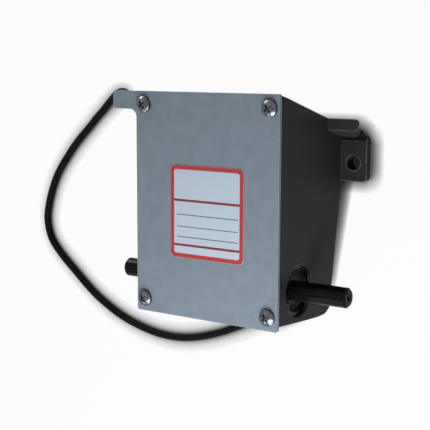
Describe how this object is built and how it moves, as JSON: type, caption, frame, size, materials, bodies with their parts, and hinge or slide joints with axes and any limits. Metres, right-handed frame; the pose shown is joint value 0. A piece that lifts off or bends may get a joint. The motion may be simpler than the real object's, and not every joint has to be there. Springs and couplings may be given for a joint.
{
  "type": "engine governor actuator",
  "caption": "Electric governor actuator with a cast housing, flat cover plate, mounting ears, a double-ended rotary output shaft in ball bearings and a loose supply cable.",
  "frame": {"origin": "on the mounting plane, below the middle of the cover plate", "axes": "+X along the output shaft towards its right end seen from the cover, +Y up the cover plate towards the mounting ears, +Z out of the cover"},
  "size_m": [0.241, 0.1505, 0.0749],
  "materials": {
    "casting": "satin charcoal paint on a cast housing",
    "cover": "satin blue-grey sheet",
    "rubber": "matt black",
    "zinc": "bright zinc",
    "label": "pale field with a red border",
    "lamination": "dull grey",
    "brass": "dull",
    "plastic": "matt black",
    "winding": "varnished copper wire",
    "black_steel": "black oxide",
    "steel": "bright",
    "cable": "matt black"
  },
  "bodies": {
    "frame": {"housing": "casting", "cover_plate": "cover", "cover_gasket": "rubber", "cover_screws": "zinc", "rating_label": "label", "stator_core": "lamination", "pole_shims": "brass", "coil_bobbin": "plastic", "coil_winding": "winding", "stator_screws": "black_steel", "rest_bumper": "rubber", "left_outer_ring": "steel", "right_outer_ring": "steel", "left_seals": "rubber", "right_seals": "rubber", "left_circlip": "black_steel", "right_circlip": "black_steel", "return_spring": "steel", "cable_gland": "plastic", "gland_nut": "plastic", "supply_cable": "cable", "cable_plug": "plastic", "plug_pins": "brass"},
    "shaft": {"output_shaft": "black_steel", "armature": "lamination", "armature_pin": "steel", "left_inner_ring": "steel", "right_inner_ring": "steel"},
    "left_ball_set": {"left_balls": "steel", "left_cage": "brass"},
    "right_ball_set": {"right_balls": "steel", "right_cage": "brass"}
  },
  "joints": [
    {"name": "shaft_turn", "type": "hinge", "parent": "frame", "child": "shaft", "pos_m": [0, -0.0403, 0.0498], "axis": [-1, 0, 0], "range_deg": [0, 25], "stiffness_Nm_per_rad": 0.5, "springref_deg": -28.65, "deforming": ["return_spring"]},
    {"name": "left_balls_turn", "type": "hinge", "parent": "frame", "child": "left_ball_set", "pos_m": [0, -0.0403, 0.0498], "axis": [-1, 0, 0], "range_deg": [0, 9.5]},
    {"name": "right_balls_turn", "type": "hinge", "parent": "frame", "child": "right_ball_set", "pos_m": [0, -0.0403, 0.0498], "axis": [-1, 0, 0], "range_deg": [0, 9.5]}
  ],
  "couplings": [
    {"joint": "left_balls_turn", "follows": "shaft_turn", "ratio": 0.3678},
    {"joint": "right_balls_turn", "follows": "shaft_turn", "ratio": 0.3678}
  ]
}
